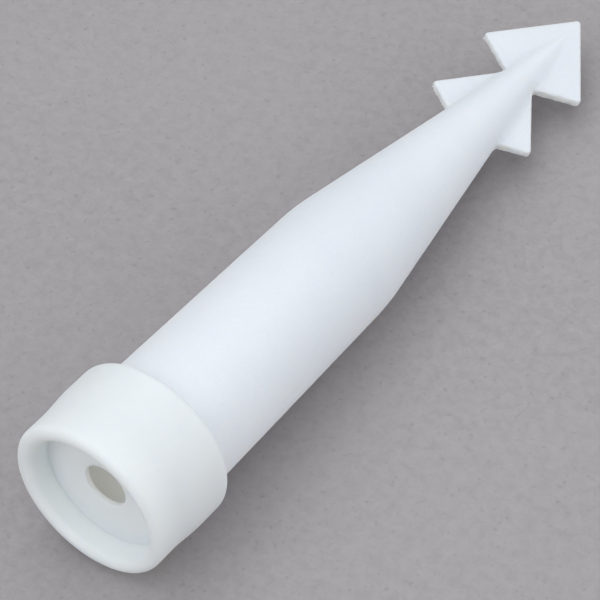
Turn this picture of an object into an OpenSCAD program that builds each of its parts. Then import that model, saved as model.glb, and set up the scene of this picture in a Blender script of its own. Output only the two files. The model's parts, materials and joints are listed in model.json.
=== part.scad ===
/* [Porous body] */
// Outside diameter of the tube at the open end, where the collar grips it
base_d = 26.4; // [25:0.1:28]
// Outside diameter of the tube at the shoulder, where the cone begins
shoulder_d = 25; // [23:0.1:25]
// Diameter of the air chamber inside the tube
core_d = 20; // [14:0.5:21]
// Distance from the collar's front to the shoulder
shoulder_y = 72.5; // [45:0.5:90]
// Distance from the collar's front to the point where the leading edges meet
tip_y = 157.2; // [145:0.2:200]

/* [Barbed blade] */
// Thickness of the flat blade
blade_t = 1.8; // [1:0.1:2.4]
// Half the blade's width, measured at the barb corners before rounding
barb_half_w = 12.1; // [11:0.1:14]
// Angle between the axis and each leading edge
lead_angle = 33.3; // [31:0.1:36]
// Angle between each trailing edge and a line square to the axis
trail_angle = 28; // [18:1:30]
// Distance between the two pairs of barbs
barb_pitch = 18.5; // [18:0.1:20]
// Rounding of the blade's corners
corner_r = 0.7; // [0.3:0.1:1]

/* [Collar] */
// Length of the soft collar
collar_len = 19.1; // [17:0.1:26]
// Diameter of the front socket
socket_d = 25.2; // [22:0.1:26]
// Depth of the front socket, from the lip to the web
socket_depth = 5; // [4.5:0.1:6]
// Thickness of the web between the socket and the tube
web_t = 1; // [0.8:0.1:2]
// Diameter of the inlet port in the web
port_d = 8.6; // [6:0.2:14]
// Bevel on the front edge of the port
port_bevel = 0.15; // [0.1:0.05:0.5]
// Outside diameter of the front band, over the socket
front_d = 31.2; // [30:0.1:32]
// Outside diameter of the rear band, over the tube
rear_d = 32.2; // [32:0.1:36]
// Distance from the front to the middle of the swell between the two bands
swell_y = 9; // [8:0.1:11]
// Length of the swell
swell_len = 7.5; // [4:0.1:9]
// Rounding of the rear shoulder
rear_round = 2; // [1:0.1:2]
// Running gap between the collar's bore and the tube
grip_gap = 0.05; // [0.02:0.01:0.1]
// Gap between the web and the end of the tube
end_gap = 0.3; // [0.3:0.1:1]

/* [Resting place] */
// How far the muffler is rolled about its axis where it lies, +X side down
roll = 13.5; // [0:0.5:35]

/* [Hidden] */
$fn = 96;

// Cone: its inside runs parallel to its outside
base_r = base_d / 2;
shoulder_r = shoulder_d / 2;
core_r = core_d / 2;
cone_slope = shoulder_r / (tip_y - shoulder_y);
function cone_r(y) = (tip_y - y) * cone_slope;
function core_cone_r(y) = cone_r(y) - (shoulder_r - core_r);

// Blade: the rear pair of barbs is the front pair moved back by the pitch
lead_run = 1 / tan(lead_angle);
trail_run = tan(trail_angle);
barb_y = tip_y - barb_half_w * lead_run;
// Where the front pair's trailing edges meet the rear pair's leading edges, inside the cone
valley_half_w = barb_half_w - barb_pitch / (lead_run + trail_run);
valley_y = barb_y - (barb_half_w - valley_half_w) * trail_run;
// The spear is solid from a little behind the rear barbs, and the chamber stops short of it
spear_y = valley_y - barb_pitch - 2;
chamber_end_y = spear_y - 2.5;
// The spear's own cone ends inside the blade, just short of the tip
cone_end_y = tip_y - 2 * corner_r;

// Collar
socket_r = socket_d / 2;
port_r = port_d / 2;
grip_r = base_r + grip_gap;
seat_y = socket_depth + web_t;
tube_y = seat_y + end_gap;
front_r = front_d / 2;
rear_r = rear_d / 2;
// The lip is one full round across the wall
lip_round = (front_r - socket_r) / 2;
rear_ring_r = rear_r - rear_round;
rear_ring_y = collar_len - rear_round;
swell_steps = 14;

// Corner rounding: a corner at p, with edges towards a and b
function unit(v) = v / norm(v);
function half_angle(p, a, b) = acos(unit(a - p) * unit(b - p)) / 2;
function cut_back(p, a, b, r) =
    let (back = r / tan(half_angle(p, a, b)))
    [p + unit(a - p) * back, p + unit(b - p) * back];
function round_centre(p, a, b, r) =
    p + unit(unit(a - p) + unit(b - p)) * r / sin(half_angle(p, a, b));

tip = [0, tip_y];
barb = [barb_half_w, barb_y];
valley = [valley_half_w, valley_y];
step_back = [0, barb_pitch];
tip_c = round_centre(tip, barb, [-barb.x, barb.y], corner_r);
barb_c = round_centre(barb, tip, valley, corner_r);

// Lying on a floor, the muffler rests on the collar's rear shoulder and the body's own
// shoulder, so its axis slopes down towards the tip, which stays clear of the floor
rest_run = shoulder_y - rear_ring_y;
rest_step = rear_ring_r - shoulder_r;
tilt = atan(rest_step / rest_run) + asin(rear_round / norm([rest_run, rest_step]));
lift = shoulder_y * sin(tilt) + shoulder_r * cos(tilt);
// Both ends of the length along the floor: the bottom of the lip, and the tip
near_y = lip_round * cos(tilt) - (front_r - lip_round) * sin(tilt) - lip_round;
far_y = tip_c.y * cos(tilt) + blade_t / 2 * cos(roll) * sin(tilt)
    + corner_r * sqrt(pow(cos(tilt), 2) + pow(sin(roll) * sin(tilt), 2));

// Everything is drawn along +Y from the collar's front, then laid on the floor
module lay() {
    translate([0, -(near_y + far_y) / 2, lift])
        rotate([-tilt, 0, 0])
        rotate([0, roll, 0])
        children();
}

module turned() {
    rotate([-90, 0, 0]) rotate_extrude() children();
}

module collar_wall() {
    polygon(concat(
        [
            [socket_r, socket_depth],
            [socket_r, lip_round],
            [front_r, lip_round]
        ],
        // The wall swells smoothly from the front band to the rear band
        [for (i = [0 : swell_steps])
            let (u = i / swell_steps)
            [
                front_r + (rear_r - front_r) * (1 - cos(180 * u)) / 2,
                swell_y + (u - 0.5) * swell_len
            ]
        ],
        [
            [rear_r, rear_ring_y],
            [rear_ring_r, collar_len],
            [port_r, collar_len],
            [port_r, socket_depth + port_bevel],
            [port_r + port_bevel, socket_depth]
        ]
    ));
    translate([socket_r + lip_round, lip_round]) circle(r = lip_round);
    translate([rear_ring_r, rear_ring_y]) circle(r = rear_round);
}

module mounting_collar() {
    color([0.92, 0.93, 0.92])
    lay() turned() difference() {
        collar_wall();
        // The bore that grips the tube
        translate([0, seat_y]) square([grip_r, collar_len]);
    }
}

module porous_tube() {
    color([0.88, 0.91, 0.95])
    lay() turned() {
        polygon([
            [core_r, tube_y],
            [base_r, tube_y],
            [base_r, collar_len],
            [shoulder_r, shoulder_y],
            [core_r, shoulder_y]
        ]);
    }
}

module nose_cone() {
    color([0.88, 0.91, 0.95])
    lay() turned() {
        polygon([
            [core_r, shoulder_y],
            [shoulder_r, shoulder_y],
            [cone_r(spear_y), spear_y],
            [0, spear_y],
            [0, chamber_end_y],
            [core_cone_r(chamber_end_y), chamber_end_y]
        ]);
    }
}

// One side's outline of the blade: a rounded tip, two rounded barbs and two sharp valleys
module blade_half() {
    tip_cut = cut_back(tip, barb, [-barb.x, barb.y], corner_r);
    barb_cut = cut_back(barb, tip, valley, corner_r);
    polygon([
        [0, tip_c.y],
        tip_cut[0],
        barb_cut[0],
        barb_cut[1],
        valley,
        barb_cut[0] - step_back,
        barb_cut[1] - step_back,
        valley - step_back,
        [0, valley.y - barb_pitch]
    ]);
    translate(barb_c) circle(r = corner_r);
    translate(barb_c - step_back) circle(r = corner_r);
}

module barbed_tip() {
    color([0.88, 0.92, 0.95])
    lay() {
        turned() polygon([
            [0, spear_y],
            [cone_r(spear_y), spear_y],
            [cone_r(cone_end_y), cone_end_y],
            [0, cone_end_y]
        ]);
        linear_extrude(blade_t, center = true) {
            blade_half();
            mirror([1, 0]) blade_half();
            translate(tip_c) circle(r = corner_r);
        }
    }
}

mounting_collar();
porous_tube();
nose_cone();
barbed_tip();
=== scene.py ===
import json
import math

import bpy
import numpy as np
from mathutils import Matrix, Vector


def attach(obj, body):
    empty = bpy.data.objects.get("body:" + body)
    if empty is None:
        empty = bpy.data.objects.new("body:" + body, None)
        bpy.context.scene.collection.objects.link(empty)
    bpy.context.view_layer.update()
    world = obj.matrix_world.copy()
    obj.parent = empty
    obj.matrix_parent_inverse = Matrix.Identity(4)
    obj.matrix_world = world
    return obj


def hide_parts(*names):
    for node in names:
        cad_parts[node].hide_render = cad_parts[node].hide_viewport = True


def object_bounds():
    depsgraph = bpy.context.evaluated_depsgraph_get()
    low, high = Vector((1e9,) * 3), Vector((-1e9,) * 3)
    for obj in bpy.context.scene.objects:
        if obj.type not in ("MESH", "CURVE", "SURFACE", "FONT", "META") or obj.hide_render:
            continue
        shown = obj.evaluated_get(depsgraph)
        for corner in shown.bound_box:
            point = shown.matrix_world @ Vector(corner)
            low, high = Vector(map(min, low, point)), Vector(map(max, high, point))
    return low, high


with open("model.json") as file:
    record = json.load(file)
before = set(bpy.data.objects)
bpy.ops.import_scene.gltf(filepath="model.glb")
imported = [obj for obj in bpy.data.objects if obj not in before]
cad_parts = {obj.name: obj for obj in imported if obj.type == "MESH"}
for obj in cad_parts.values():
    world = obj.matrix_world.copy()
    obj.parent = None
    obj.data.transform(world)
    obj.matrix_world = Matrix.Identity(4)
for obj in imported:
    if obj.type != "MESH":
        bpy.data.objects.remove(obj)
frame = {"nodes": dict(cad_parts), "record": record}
cad_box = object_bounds()

MM = 0.001
rng = np.random.default_rng(7)

# ---------------------------------------------------------------- sizes, in millimetres
# Distances run along the muffler's axis from the collar's front.
BASE_R = 13.2          # tube radius inside the collar
SHOULDER_R = 12.5      # tube radius where the cone begins
CORE_R = 10.0          # chamber radius inside the tube
SHOULDER_Y = 72.5
TIP_Y = 157.2          # where the leading edges meet
BLADE_T = 1.8
BARB_HALF_W = 12.1     # half the blade's width at the barb corners, before rounding
LEAD_ANGLE = math.radians(33.3)     # between the axis and a leading edge
TRAIL_ANGLE = math.radians(28)      # between a trailing edge and a line square to the axis
BARB_PITCH = 18.5
CORNER_R = 0.7         # rounding of the barb corners and the tip
VALLEY_R = 0.5         # rounding of the valleys between the barbs

COLLAR_LEN = 19.1
SOCKET_R = 12.6
SOCKET_DEPTH = 5.0
WEB_T = 1.0
PORT_R = 4.3
PORT_EDGE_R = 0.15     # rounding of the port's front edge
FRONT_R = 15.65
REAR_R = 16.13
SWELL_Y = 9.0          # middle of the swell between the front and the rear band
SWELL_LEN = 7.5
REAR_ROUND = 2.0
END_GAP = 0.3          # between the web and the tube's end
GRIP_GAP = 0.05        # between the bore and the tube
SKIRT_OFFSET = -0.14   # how far the outside of the collar stands to one side

CONE_SLOPE = SHOULDER_R / (TIP_Y - SHOULDER_Y)
LIP_ROUND = (FRONT_R - SOCKET_R) / 2
SEAT_Y = SOCKET_DEPTH + WEB_T
TUBE_Y = SEAT_Y + END_GAP
GRIP_R = BASE_R + GRIP_GAP
BARB_Y = TIP_Y - BARB_HALF_W / math.tan(LEAD_ANGLE)
VALLEY_HALF_W = BARB_HALF_W - BARB_PITCH / (1 / math.tan(LEAD_ANGLE) + math.tan(TRAIL_ANGLE))
VALLEY_Y = BARB_Y - (BARB_HALF_W - VALLEY_HALF_W) * math.tan(TRAIL_ANGLE)
# The chamber stops short of the rear barbs
CHAMBER_END_Y = VALLEY_Y - BARB_PITCH - 4.5

# ---------------------------------------------------------------- the muffler's own axes
# x lies across the blade, y runs from the collar to the tip, z is square to the blade.


def node_points(name):
    mesh = frame["nodes"][name].data
    points = np.empty(len(mesh.vertices) * 3)
    mesh.vertices.foreach_get("co", points)
    return points.reshape(-1, 3)


socket = next(m for m in frame["record"]["mounts"] if m["name"] == "inlet_socket")
axis_y = -Vector(socket["axis"]).normalized()
on_axis = np.array(socket["pos_m"])
collar_reach = (node_points("mounting_collar") - on_axis) @ np.array(axis_y)
front = on_axis + np.array(axis_y) * collar_reach.min()
# The barb corners are the points of the tip farthest from the axis
tip_points = node_points("barbed_tip") - front
radial = tip_points - np.outer(tip_points @ np.array(axis_y), np.array(axis_y))
reach = np.linalg.norm(radial, axis=1)
CORNER_DEPTH = 0.05 * MM
corners = radial[(reach > reach.max() - CORNER_DEPTH) & (radial[:, 0] > 0)]
axis_x = Vector(corners.mean(axis=0)).normalized()
axis_z = axis_x.cross(axis_y).normalized()
LOCAL = Matrix((axis_x, axis_y, axis_z)).transposed().to_4x4()
LOCAL.translation = Vector(front)
LOCAL_ROT = np.array(LOCAL.to_3x3())


def place(points):
    """Points in the muffler's own axes, in millimetres, to the frame in metres."""
    return points * MM @ LOCAL_ROT.T + front


def new_piece(name, points, faces, normals=None):
    mesh = bpy.data.meshes.new(name)
    mesh.from_pydata(place(points).tolist(), [], faces.tolist())
    mesh.update()
    mesh.polygons.foreach_set("use_smooth", np.ones(len(mesh.polygons), dtype=bool))
    if normals is not None:
        mesh.normals_split_custom_set_from_vertices((normals @ LOCAL_ROT.T).tolist())
    obj = bpy.data.objects.new(name, mesh)
    bpy.context.scene.collection.objects.link(obj)
    return obj


# ---------------------------------------------------------------- the sintered body
def smooth_min(a, b, k):
    h = np.maximum(k - np.abs(a - b), 0) / k
    return np.minimum(a, b) - h * h * k / 4


def smooth_max(a, b, k):
    return -smooth_min(-a, -b, k)


def unit(v):
    return v / np.linalg.norm(v)


def rounded_corner(p, a, b, radius, steps=6):
    """Points of an arc that rounds the corner p between its neighbours a and b."""
    u, v = unit(a - p), unit(b - p)
    half = math.acos(u @ v) / 2
    centre = p + unit(u + v) * radius / math.sin(half)
    start = p + u * radius / math.tan(half) - centre
    end = p + v * radius / math.tan(half) - centre
    sweep = math.acos(np.clip(unit(start) @ unit(end), -1, 1))
    for i in range(steps + 1):
        t = i / steps
        turned = math.sin((1 - t) * sweep) * start + math.sin(t * sweep) * end
        yield centre + turned / math.sin(sweep)


def blade_outline():
    """The blade's outline, from the root of its right side round the tip to the root of its left."""
    tip = np.array([0, TIP_Y])
    barb = np.array([BARB_HALF_W, BARB_Y])
    valley = np.array([VALLEY_HALF_W, VALLEY_Y])
    back = np.array([0, BARB_PITCH])
    right = [valley - back]
    right += list(rounded_corner(barb - back, valley - back, valley, CORNER_R))
    right += list(rounded_corner(valley, barb - back, barb, VALLEY_R))
    right += list(rounded_corner(barb, valley, tip, CORNER_R))
    nose = list(rounded_corner(tip, barb, barb * [-1, 1], CORNER_R))
    left = [p * [-1, 1] for p in reversed(right)]
    return np.array(right + nose + left)


OUTLINE = blade_outline()


def outline_distance(x, y):
    """Signed distance to the blade's outline, negative inside."""
    best = np.full(x.shape, np.inf)
    inside = np.zeros(x.shape, dtype=bool)
    for (ax, ay), (bx, by) in zip(OUTLINE, np.roll(OUTLINE, -1, axis=0)):
        ex, ey = bx - ax, by - ay
        t = np.clip(((x - ax) * ex + (y - ay) * ey) / (ex * ex + ey * ey), 0, 1)
        best = np.minimum(best, (x - ax - t * ex) ** 2 + (y - ay - t * ey) ** 2)
        crosses = (ay > y) != (by > y)
        if ey != 0:
            inside ^= crosses & (x < ax + (y - ay) * ex / ey)
    return np.where(inside, -1, 1) * np.sqrt(best)


SHOULDER_SOFT = 0.5    # softness of the crease between tube and cone
BLADE_FILLET = 1.6     # blend between cone and blade
FILLET_MIN = 0.1       # the least blend, where the cone sinks into the blade
FILLET_FADE = 1.5      # the blend tightens over this distance from the blade's outline,
FILLET_AT_EDGE = 0.6   # down to this share of itself
BLADE_EDGE_R = 0.45    # rounding of the blade's edges
RIM_SOFT = 0.5         # rounding of the tube's open end
CHAMBER_END_SOFT = 2   # rounding of the chamber's far end
CONE_COSINE = 0.99     # turns a radial distance from the cone into the distance square to it
FAR_AWAY = 1e3


def outer_radius(y):
    draft = (BASE_R - SHOULDER_R) / (SHOULDER_Y - COLLAR_LEN)
    tube = SHOULDER_R + (SHOULDER_Y - y) * draft
    tube = np.minimum(tube, BASE_R)
    return smooth_min(tube, (TIP_Y - y) * CONE_SLOPE, SHOULDER_SOFT)


def body_distance(p):
    """Signed distance, near enough, to the surface of the sintered body."""
    x, y, z = p[..., 0], p[..., 1], p[..., 2]
    r = np.sqrt(x * x + z * z)
    shell = (r - outer_radius(y)) * CONE_COSINE
    blade = np.full(x.shape, FAR_AWAY)
    near = y > CHAMBER_END_Y
    outline = outline_distance(x[near], y[near])
    side = outline + BLADE_EDGE_R
    face = np.abs(z[near]) - BLADE_T / 2 + BLADE_EDGE_R
    blade[near] = (np.sqrt(np.maximum(side, 0) ** 2 + np.maximum(face, 0) ** 2)
                   + np.minimum(np.maximum(side, face), 0) - BLADE_EDGE_R)
    # The fillet runs out where the cone sinks into the blade, and towards the blade's outline
    proud = (TIP_Y - y) * CONE_SLOPE - BLADE_T / 2
    fillet = np.clip(proud * 0.8, FILLET_MIN, BLADE_FILLET)
    fillet[near] *= np.clip(-outline / FILLET_FADE, FILLET_AT_EDGE, 1)
    solid = smooth_min(shell, blade, fillet)
    solid = smooth_max(solid, TUBE_Y - y, RIM_SOFT)
    core_r = np.minimum(CORE_R, (TIP_Y - y) * CONE_SLOPE - (SHOULDER_R - CORE_R))
    chamber = smooth_max(r - core_r, y - CHAMBER_END_Y, CHAMBER_END_SOFT)
    return smooth_max(solid, -chamber, RIM_SOFT)


def body_gradient(p, step=0.02):
    rise = [body_distance(p + d) - body_distance(p - d) for d in np.eye(3) * step]
    return np.stack(rise, axis=-1) / (2 * step)


def grid_line(stops):
    """Grid places that run through the stops, each stretch at its own spacing."""
    parts = []
    for (start, spacing), (end, _) in zip(stops, stops[1:]):
        parts.append(np.linspace(start, end, round((end - start) / spacing) + 1)[:-1])
    return np.concatenate(parts + [[stops[-1][0]]])


def surface_net(xs, ys, zs):
    """A vertex in each grid cell that the surface crosses, and a quad for each grid edge it crosses."""
    grid = np.stack(np.meshgrid(xs, ys, zs, indexing="ij"), axis=-1)
    value = body_distance(grid)
    inside = value < 0
    shape = np.array(value.shape) - 1
    total = np.zeros((*shape, 3))
    count = np.zeros(shape)
    edges = []
    for axis in range(3):
        low = [slice(None)] * 3
        high = [slice(None)] * 3
        low[axis], high[axis] = slice(None, -1), slice(1, None)
        low, high = tuple(low), tuple(high)
        cross = inside[low] != inside[high]
        edges.append((cross, inside[low]))
        where = np.nonzero(cross)
        t = (value[low][where] / (value[low][where] - value[high][where]))[:, None]
        point = grid[low][where] * (1 - t) + grid[high][where] * t
        others = [a for a in range(3) if a != axis]
        for du in (0, 1):
            for dv in (0, 1):
                cell = list(where)
                cell[others[0]] = cell[others[0]] - du
                cell[others[1]] = cell[others[1]] - dv
                ok = ((cell[others[0]] >= 0) & (cell[others[0]] < shape[others[0]])
                      & (cell[others[1]] >= 0) & (cell[others[1]] < shape[others[1]]))
                cell = tuple(c[ok] for c in cell)
                np.add.at(total, cell, point[ok])
                np.add.at(count, cell, 1)
    used = count > 0
    index = np.full(shape, -1)
    index[used] = np.arange(used.sum())
    points = total[used] / count[used][:, None]
    faces = []
    for axis, (cross, starts_inside) in enumerate(edges):
        u, v = [(1, 2), (2, 0), (0, 1)][axis]
        where = np.array(np.nonzero(cross))
        flip = ~starts_inside[cross]
        ring = []
        for du, dv in ((1, 1), (0, 1), (0, 0), (1, 0)):
            cell = where.copy()
            cell[u] -= du
            cell[v] -= dv
            ring.append(index[tuple(cell)])
        ring = np.stack(ring, axis=-1)
        ring[flip] = ring[flip][:, ::-1]
        faces.append(ring)
    return points, np.concatenate(faces)


LATTICE = 32


def lattice_noise(p, size):
    """Smooth random values from -1 to 1 that change over the given size."""
    lattice = rng.uniform(-1, 1, (LATTICE, LATTICE, LATTICE))
    q = p / size
    cell = np.floor(q).astype(int)
    f = q - cell
    f = f * f * (3 - 2 * f)
    out = np.zeros(len(p))
    for dx in (0, 1):
        for dy in (0, 1):
            for dz in (0, 1):
                weight = np.abs(1 - dx - f[:, 0]) * np.abs(1 - dy - f[:, 1]) * np.abs(1 - dz - f[:, 2])
                corner = (cell + [dx, dy, dz]) % LATTICE
                out += weight * lattice[corner[:, 0], corner[:, 1], corner[:, 2]]
    return out


def write_attribute(obj, name, values):
    """A number on each vertex, for the material to read."""
    attribute = obj.data.attributes.new(name, "FLOAT", "POINT")
    attribute.data.foreach_set("value", values.astype(np.float32))


def body_mesh():
    """Points, faces and normals of the body. The grid is finest at the rim and along the blade."""
    fine = 0.25
    span = BASE_R + 0.6
    across = [(-span, 1.6 * fine), (span, 0)]
    along = [(TUBE_Y - 0.9, fine), (TUBE_Y + 1.5, 3 * fine), (SHOULDER_Y - 5, 2 * fine),
             (SHOULDER_Y + 5, 3 * fine), (CHAMBER_END_Y - 1, fine), (TIP_Y + 0.6, 0)]
    up = [(-span, 1.6 * fine), (-1.5, 0.8 * fine), (1.5, 1.6 * fine), (span, 0)]
    points, faces = surface_net(grid_line(across), grid_line(along), grid_line(up))
    # A few Newton steps bring every point onto the surface
    for _ in range(4):
        g = body_gradient(points)
        square = np.maximum((g * g).sum(axis=1), 0.2)
        points = points - g * (body_distance(points) / square)[:, None]
    g = body_gradient(points)
    return points, faces, g / np.linalg.norm(g, axis=1)[:, None]


def sintered_body():
    points, faces, normals = body_mesh()
    # Sintered powder: the surface wanders by a few hundredths of a millimetre
    wander = 0.022 * lattice_noise(points, 0.9) + 0.014 * lattice_noise(points, 0.45)
    # The barbs' trailing edges are ragged and nicked, the leading edges nearly clean
    edge = np.clip(1 - np.abs(normals[:, 2]) * 1.6, 0, 1) * (points[:, 1] > CHAMBER_END_Y)
    edge *= np.abs(points[:, 0]) > outer_radius(points[:, 1]) + 0.3
    ragged_edge_and_painted_light = edge * np.clip(0.15 - 1.5 * normals[:, 1], 0.1, 1)
    teeth = 0.35 * lattice_noise(points, 0.45)
    nicks = 0.9 * np.maximum(lattice_noise(points, 0.9) - 0.25, 0)
    wander += ragged_edge_and_painted_light * (teeth - nicks)
    points = points + normals * wander[:, None]
    body = new_piece("sintered_body", points, faces, normals)
    # The chamber's wall faces the axis
    inside = (np.hypot(points[:, 0], points[:, 2]) < CORE_R + 0.6) & (points[:, 1] < CHAMBER_END_Y + 1)
    inside &= (normals[:, [0, 2]] * points[:, [0, 2]]).sum(axis=1) < 0
    # The mask of ragged edges also carries painted light: the material lightens these edges with it
    write_attribute(body, "ragged_edge_and_painted_light", ragged_edge_and_painted_light)
    # The material paints the chamber wall a warmer grey, a painted tint for light bounced about inside the
    # chamber
    write_attribute(body, "inside", inside)
    return body


# ---------------------------------------------------------------- the collar
def arc(centre, radius, start, end, steps):
    """Points along an arc, with its angles in degrees."""
    for i in range(steps + 1):
        a = math.radians(start + (end - start) * i / steps)
        yield (centre[0] + radius * math.cos(a), centre[1] + radius * math.sin(a))


def collar_profile():
    """Closed outline of the collar's wall as (radius, distance along the axis)."""
    crease = 0.25      # rounding at the foot of the socket's wall
    mouth = 0.35       # rounding at the rear bore's mouth
    out = []
    # Inside of the socket, from the port's front edge to the lip
    out += arc((PORT_R + PORT_EDGE_R, SOCKET_DEPTH + PORT_EDGE_R), PORT_EDGE_R, 180, 270, 5)
    out += [(PORT_R + (SOCKET_R - PORT_R) * t, SOCKET_DEPTH) for t in (0.25, 0.45, 0.65, 0.85)]
    out += arc((SOCKET_R - crease, SOCKET_DEPTH - crease), crease, 90, 0, 5)
    out += [(SOCKET_R, SOCKET_DEPTH - crease - t) for t in (0.8, 1.6, 2.4)]
    out += arc((SOCKET_R + LIP_ROUND, LIP_ROUND), LIP_ROUND, 180, 360, 26)
    # Outside, over the swell to the rear shoulder
    steps = 40
    for i in range(1, steps):
        y = LIP_ROUND + (COLLAR_LEN - REAR_ROUND - LIP_ROUND) * i / steps
        u = min(max((y - SWELL_Y) / SWELL_LEN + 0.5, 0), 1)
        out.append((FRONT_R + (REAR_R - FRONT_R) * (1 - math.cos(math.pi * u)) / 2, y))
    out += arc((REAR_R - REAR_ROUND, COLLAR_LEN - REAR_ROUND), REAR_ROUND, 0, 90, 14)
    out += arc((GRIP_R + mouth, COLLAR_LEN - mouth), mouth, 90, 180, 5)
    # Inside of the rear bore, back to the web and into the port
    out += [(GRIP_R, SEAT_Y + (COLLAR_LEN - mouth - SEAT_Y) * t) for t in (0.75, 0.5, 0.25, 0)]
    out += [(GRIP_R + (PORT_R - GRIP_R) * t, SEAT_Y) for t in (0.25, 0.5, 0.75, 0.97)]
    out += [(PORT_R, SEAT_Y - 0.1), (PORT_R, SEAT_Y - 0.35)]
    return np.array(out)


def collar_cup():
    profile = collar_profile()
    # The outside of the soft moulding is a little off the axis, though the bores are true
    outside = np.clip((profile[:, 0] - GRIP_R - 0.4) / 1.5, 0, 1)
    off_axis = (outside * SKIRT_OFFSET)[None, :, None] * [1, 0, 0]
    turns = 224
    rings = len(profile)
    angle = np.arange(turns) * 2 * math.pi / turns
    r, y = profile[:, 0][None, :], profile[:, 1][None, :]
    # Soft moulding: the skirt is a few hundredths out of round
    sag = 1 + 0.0012 * np.sin(2 * angle + 0.6) + 0.0008 * np.sin(3 * angle + 2.1)
    reach_r = np.where(r > SOCKET_R - 1, r * sag[:, None], r)
    points = np.stack([reach_r * np.cos(angle)[:, None], np.broadcast_to(y, reach_r.shape),
                       reach_r * np.sin(angle)[:, None]], axis=-1)
    points = (points + off_axis).reshape(-1, 3)
    i, j = np.meshgrid(np.arange(turns), np.arange(rings), indexing="ij")
    i2, j2 = (i + 1) % turns, (j + 1) % rings
    faces = np.stack([i * rings + j, i * rings + j2, i2 * rings + j2, i2 * rings + j], axis=-1)
    cup = new_piece("collar_cup", points, faces.reshape(-1, 4))
    web = (np.abs(profile[:, 1] - SOCKET_DEPTH) < 0.3) & (profile[:, 0] < SOCKET_R)
    write_attribute(cup, "web", np.tile(web, turns))
    return cup


# ---------------------------------------------------------------- materials
class Shader:
    """A node material, built up call by call."""

    def __init__(self, name):
        self.material = bpy.data.materials.new(name)
        self.material.use_nodes = True
        self.tree = self.material.node_tree
        self.bsdf = self.tree.nodes["Principled BSDF"]
        self.place = self.node("ShaderNodeTexCoord").outputs["Object"]

    def node(self, kind, **settings):
        made = self.tree.nodes.new(kind)
        for key, value in settings.items():
            setattr(made, key, value)
        return made

    def link(self, a, b):
        self.tree.links.new(a, b)

    def noise(self, scale, detail=3.0, roughness=0.5, distortion=0.0):
        made = self.node("ShaderNodeTexNoise")
        for key, value in (("Scale", scale), ("Detail", detail), ("Roughness", roughness),
                           ("Distortion", distortion)):
            made.inputs[key].default_value = value
        self.link(self.place, made.inputs["Vector"])
        return made.outputs["Fac"]

    def spread(self, value, low, high, in_low=0.0, in_high=1.0):
        made = self.node("ShaderNodeMapRange")
        for key, number in (("From Min", in_low), ("From Max", in_high), ("To Min", low), ("To Max", high)):
            made.inputs[key].default_value = number
        self.link(value, made.inputs["Value"])
        return made.outputs["Result"]

    def mix(self, factor, a, b):
        made = self.node("ShaderNodeMix", data_type="RGBA")
        self.link(factor, made.inputs["Factor"])
        for socket_name, colour in (("A", a), ("B", b)):
            target = next(s for s in made.inputs if s.name == socket_name and s.type == "RGBA")
            if isinstance(colour, tuple):
                target.default_value = (*colour, 1)
            else:
                self.link(colour, target)
        return next(s for s in made.outputs if s.type == "RGBA")

    def bump(self, height, strength, distance, under=None):
        made = self.node("ShaderNodeBump")
        made.inputs["Strength"].default_value = strength
        made.inputs["Distance"].default_value = distance
        self.link(height, made.inputs["Height"])
        if under is not None:
            self.link(under, made.inputs["Normal"])
        return made.outputs["Normal"]

    def attribute(self, name):
        return self.node("ShaderNodeAttribute", attribute_name=name).outputs["Fac"]

    def set(self, **values):
        """Set the shader's sockets, with _ for each space in a socket's name."""
        for key, value in values.items():
            target = self.bsdf.inputs[key.replace("_", " ")]
            if hasattr(value, "is_output"):
                self.link(value, target)
            else:
                target.default_value = value


def sintered_plastic():
    s = Shader("sintered_white")
    cloud = s.spread(s.noise(60, 4), 0, 1, 0.35, 0.65)
    colour = s.mix(cloud, (0.832, 0.852, 0.889), (0.862, 0.882, 0.913))
    grain = s.noise(3800, 2, 0.6)
    colour = s.mix(s.spread(grain, 0, 0.35, 0.45, 0.75), colour, (0.72, 0.75, 0.80))
    # Lighter cream along the ragged edges: partly the cut edges' own tone, partly painted light standing in
    # for light that passes through the thin blade
    colour = s.mix(s.spread(s.attribute("ragged_edge_and_painted_light"), 0, 0.8), colour, (0.95, 0.93, 0.885))
    # Inside the chamber a warmer grey: painted tint of the light bounced about inside the chamber
    colour = s.mix(s.attribute("inside"), colour, (0.85, 0.855, 0.835))
    rough = s.spread(s.noise(900, 3), 0.78, 0.95, 0.3, 0.7)
    low = s.bump(s.noise(420, 3, 0.6), 0.5, 0.06 * MM)
    fine = s.bump(grain, 0.7, 0.04 * MM, low)
    s.set(Base_Color=colour, Roughness=rough, Normal=fine, Specular_IOR_Level=0.3,
          Subsurface_Weight=1.0, Subsurface_Radius=(1.0, 0.93, 0.82), Subsurface_Scale=2.5 * MM,
          Sheen_Weight=0.08, Sheen_Roughness=0.6)
    return s.material


def milky_elastomer():
    s = Shader("milky_elastomer")
    cloud = s.spread(s.noise(90, 4, 0.55), 0, 1, 0.3, 0.7)
    colour = s.mix(cloud, (0.864, 0.886, 0.884), (0.895, 0.91, 0.902))
    speck = s.spread(s.noise(1400, 2), 0, 0.25, 0.62, 0.8)
    colour = s.mix(speck, colour, (0.76, 0.77, 0.74))
    # The web is a little cooler in tint than the rest
    colour = s.mix(s.attribute("web"), colour, (0.872, 0.915, 0.912))
    rough = s.spread(s.noise(500, 4, 0.6), 0.46, 0.62, 0.3, 0.7)
    soft = s.bump(s.noise(260, 4, 0.55), 0.35, 0.05 * MM)
    fine = s.bump(s.noise(2600, 2), 0.25, 0.02 * MM, soft)
    s.set(Base_Color=colour, Roughness=rough, Normal=fine, Specular_IOR_Level=0.4,
          Subsurface_Weight=1.0, Subsurface_Radius=(1.0, 0.95, 0.85), Subsurface_Scale=2.5 * MM)
    return s.material


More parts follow.
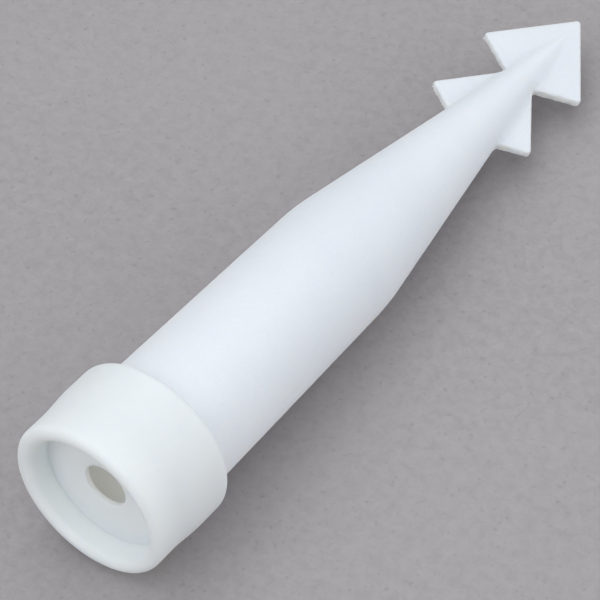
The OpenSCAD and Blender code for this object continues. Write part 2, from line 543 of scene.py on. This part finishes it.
def paper():
    s = Shader("backdrop")
    cloud = s.spread(s.noise(14, 5), 0, 1, 0.35, 0.65)
    colour = s.mix(cloud, (0.361, 0.331, 0.329), (0.386, 0.354, 0.351))
    fibre = s.noise(420, 5, 0.7, 0.4)
    colour = s.mix(s.spread(fibre, 0, 0.85, 0.3, 0.75), colour, (0.45, 0.42, 0.42))
    speck = s.spread(s.noise(700, 2), 0, 0.45, 0.62, 0.75)
    colour = s.mix(speck, colour, (0.27, 0.24, 0.245))
    s.set(Base_Color=colour, Roughness=0.95, Normal=s.bump(fibre, 0.5, 0.15 * MM))
    return s.material


body = sintered_body()
body.data.materials.append(sintered_plastic())
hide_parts("porous_tube", "nose_cone", "barbed_tip")
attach(body, "element")

collar = collar_cup()
collar.data.materials.append(milky_elastomer())
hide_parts("mounting_collar")
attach(collar, "collar")

# ---------------------------------------------------------------- floor, lights, camera
FLOOR_HALF = 1.5
floor_mesh = bpy.data.meshes.new("floor")
floor_corners = [(x * FLOOR_HALF, y * FLOOR_HALF, 0) for x, y in ((-1, -1), (1, -1), (1, 1), (-1, 1))]
floor_mesh.from_pydata(floor_corners, [], [(0, 1, 2, 3)])
floor = bpy.data.objects.new("floor", floor_mesh)
floor_mesh.materials.append(paper())
bpy.context.scene.collection.objects.link(floor)

low, high = (Vector(corner) for corner in cad_box)
middle = (low + high) / 2


LIGHT_DISTANCE = 0.9
LIGHT_SIZE = 0.8
DAYLIGHT = (0.955, 1.0, 1.04)


def softbox(name, azimuth, elevation, power):
    """A square light that faces the muffler. Azimuth 0 stands on the -Y side, 90 on the +X side."""
    az, el = math.radians(azimuth), math.radians(elevation)
    out = Vector((math.sin(az) * math.cos(el), -math.cos(az) * math.cos(el), math.sin(el)))
    data = bpy.data.lights.new(name, "AREA")
    data.shape = "SQUARE"
    data.size = LIGHT_SIZE
    data.energy = power
    data.color = DAYLIGHT
    obj = bpy.data.objects.new(name, data)
    obj.location = middle + out * LIGHT_DISTANCE
    obj.visible_camera = False
    obj.rotation_euler = out.to_track_quat("Z", "Y").to_euler()
    bpy.context.scene.collection.objects.link(obj)


softbox("back_left", -135, 50, 2.53)
softbox("back_right", 135, 18, 2.95)
softbox("overhead", 0, 88, 1.37)
softbox("front_left", -45, 50, 1.5)
softbox("front", 0, 50, 1.65)
softbox("front_low", 0, 18, 1.65)
softbox("right_low", 85, 19, 1.6)

# Stands for light that reaches the chamber through its porous wall. It isn't part of the object
through_wall = bpy.data.lights.new("through_wall", "POINT")
through_wall.energy = 0.00175
through_wall.shadow_soft_size = 4 * MM
through_wall.color = (1.0, 0.97, 0.94)
glow = bpy.data.objects.new("through_wall", through_wall)
glow.location = LOCAL @ Vector((0, 28 * MM, 0))
glow.visible_camera = False
bpy.context.scene.collection.objects.link(glow)

world = bpy.data.worlds.new("studio")
bpy.context.scene.world = world
world.use_nodes = True
background = world.node_tree.nodes["Background"]
background.inputs["Color"].default_value = (0.92, 0.96, 1.0, 1)
background.inputs["Strength"].default_value = 0.21

CAMERA_AZIMUTH = math.radians(36.1)
CAMERA_ELEVATION = math.radians(50.24)
CAMERA_ROLL = math.radians(0.15)
CAMERA_DISTANCE = 0.4361
AIM = Vector((-0.00099, -0.01601, 0.01005))

toward = Vector((-math.sin(CAMERA_AZIMUTH) * math.cos(CAMERA_ELEVATION),
                 math.cos(CAMERA_AZIMUTH) * math.cos(CAMERA_ELEVATION), -math.sin(CAMERA_ELEVATION)))
level = toward.cross(Vector((0, 0, 1))).normalized()
upright = level.cross(toward)
right = level * math.cos(CAMERA_ROLL) + upright * math.sin(CAMERA_ROLL)
up = upright * math.cos(CAMERA_ROLL) - level * math.sin(CAMERA_ROLL)
camera_data = bpy.data.cameras.new("camera")
camera_data.lens = 143.4
camera_data.sensor_width = 36
camera_data.clip_start = 0.01
camera = bpy.data.objects.new("camera", camera_data)
turn = Matrix((right, up, -toward)).transposed().to_4x4()
camera.matrix_world = Matrix.Translation(AIM - toward * CAMERA_DISTANCE) @ turn
bpy.context.scene.collection.objects.link(camera)
bpy.context.scene.camera = camera
bpy.context.scene.view_settings.view_transform = "Standard"
